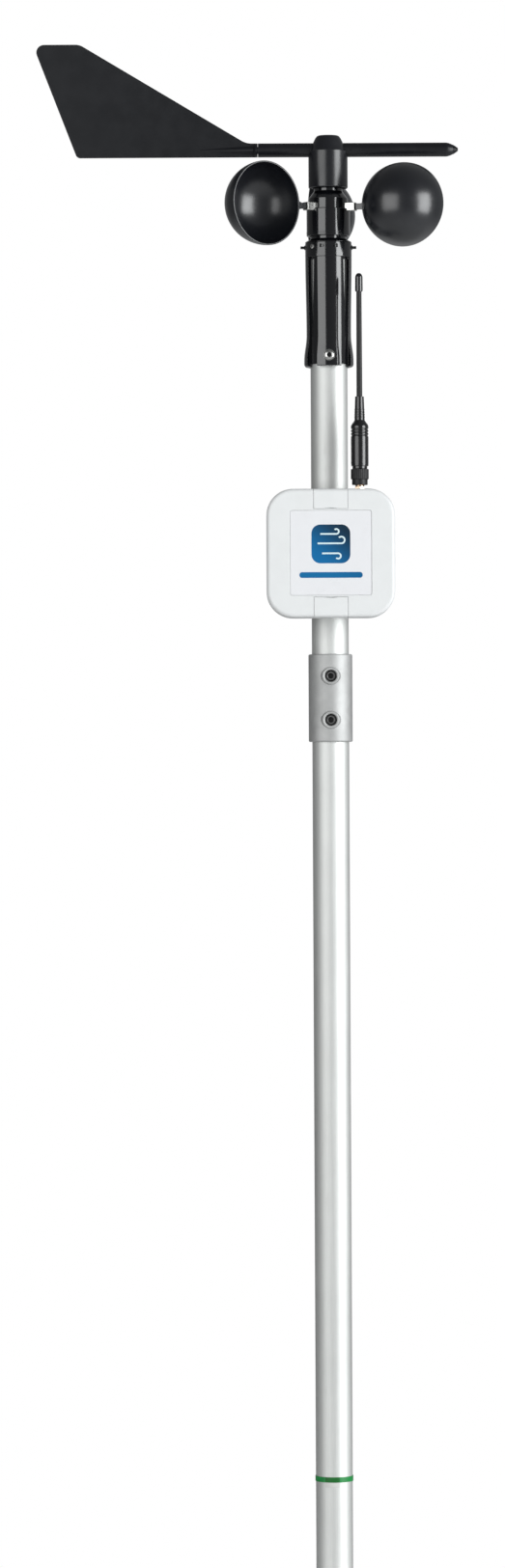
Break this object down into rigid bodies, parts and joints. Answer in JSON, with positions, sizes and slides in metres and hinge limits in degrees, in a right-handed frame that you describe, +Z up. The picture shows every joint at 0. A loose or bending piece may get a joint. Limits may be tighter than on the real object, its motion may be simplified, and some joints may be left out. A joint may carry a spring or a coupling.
{
  "type": "mast weather station",
  "caption": "Wind vane and cup rotor on a finned socket at the top of a two-piece aluminium mast, with a square radio box and whip antenna.",
  "frame": {"origin": "centre of the flat face at the foot of the mast", "axes": "+Z up the mast's axis, -Y the front, where the radio box is, +X to the right seen from the front, where the vane's nose points at rest"},
  "size_m": [0.3878, 0.1807, 1.6024],
  "materials": {
    "anodised_aluminium": "satin clear anodised",
    "cast_aluminium": "fine cast, blasted",
    "black_plastic": "semi-gloss moulded",
    "vane_plastic": "satin moulded",
    "white_plastic": "satin moulded",
    "label_film": "smooth printed film",
    "antenna_rubber": "satin",
    "green_tape": "satin tape",
    "stainless_steel": "bright",
    "dark_steel": "blackened",
    "gold_plate": "gold plated",
    "brass": "turned",
    "sealing_rubber": "matt",
    "circuit_board": "green solder mask",
    "battery_wrap": "blue printed sleeve",
    "reed_glass": "clear",
    "plug_plastic": "matt moulded"
  },
  "bodies": {
    "lower_mast": {"coupling_set_screw_lower": "dark_steel", "coupling_set_screw_upper": "dark_steel", "depth_mark_band": "green_tape", "lower_mast_tube": "anodised_aluminium", "mast_coupling": "cast_aluminium", "mast_end_plug": "plug_plastic"},
    "upper_mast": {"antenna_bulkhead": "gold_plate", "antenna_grip": "antenna_rubber", "antenna_knurled_nut": "antenna_rubber", "antenna_tip_cap": "antenna_rubber", "antenna_whip": "antenna_rubber", "band_screw_lower": "stainless_steel", "band_screw_upper": "stainless_steel", "battery_cell_lower": "battery_wrap", "battery_cell_upper": "battery_wrap", "battery_holder": "plug_plastic", "bottom_flap_pin": "stainless_steel", "box_front_cover": "white_plastic", "box_gasket": "sealing_rubber", "box_rear_shell": "white_plastic", "bracket_screw_left": "stainless_steel", "bracket_screw_right": "stainless_steel", "cable_grommet": "sealing_rubber", "collar_screw": "stainless_steel", "cover_screw_bottom": "stainless_steel", "cover_screw_top": "stainless_steel", "cup_bearing_lower": "stainless_steel", "cup_bearing_upper": "stainless_steel", "direction_potentiometer": "plug_plastic", "fixed_spindle": "stainless_steel", "front_label": "label_film", "mast_band_lower": "stainless_steel", "mast_band_upper": "stainless_steel", "mast_bracket": "plug_plastic", "mast_socket": "black_plastic", "radio_circuit_board": "circuit_board", "reed_switch": "reed_glass", "sensor_circuit_board": "circuit_board", "sensor_core": "black_plastic", "socket_clamp_screw": "stainless_steel", "top_flap_pin": "stainless_steel", "upper_mast_tube": "anodised_aluminium", "vane_bush_lower": "brass", "vane_bush_upper": "brass"},
    "cup_rotor": {"cup_hub": "black_plastic", "cup_magnet": "dark_steel", "wind_cup_left": "black_plastic", "wind_cup_rear": "black_plastic", "wind_cup_right": "black_plastic"},
    "wind_vane": {"nose_boom": "vane_plastic", "nose_weight": "brass", "tail_boom": "vane_plastic", "tail_fin": "vane_plastic", "vane_hub": "vane_plastic", "vane_set_screw": "dark_steel", "vane_shaft": "stainless_steel"},
    "top_flap": {"top_screw_flap": "white_plastic"},
    "bottom_flap": {"bottom_screw_flap": "white_plastic"}
  },
  "joints": [
    {"name": "mast_heading", "type": "hinge", "parent": "lower_mast", "child": "upper_mast", "pos_m": [0, 0, 1.0041], "axis": [0, 0, 1], "range_deg": [-180, 180]},
    {"name": "cup_spin", "type": "hinge", "parent": "upper_mast", "child": "cup_rotor", "pos_m": [0, 0, 1.4523], "axis": [0, 0, 1], "continuous": true},
    {"name": "vane_turn", "type": "hinge", "parent": "upper_mast", "child": "wind_vane", "pos_m": [0, 0, 1.505], "axis": [0, 0, 1], "continuous": true},
    {"name": "top_flap_hinge", "type": "hinge", "parent": "upper_mast", "child": "top_flap", "pos_m": [0, -0.05705, 1.1907], "axis": [-1, 0, 0], "range_deg": [0, 80]},
    {"name": "bottom_flap_hinge", "type": "hinge", "parent": "upper_mast", "child": "bottom_flap", "pos_m": [0, -0.05705, 1.0777], "axis": [1, 0, 0], "range_deg": [0, 80]}
  ]
}
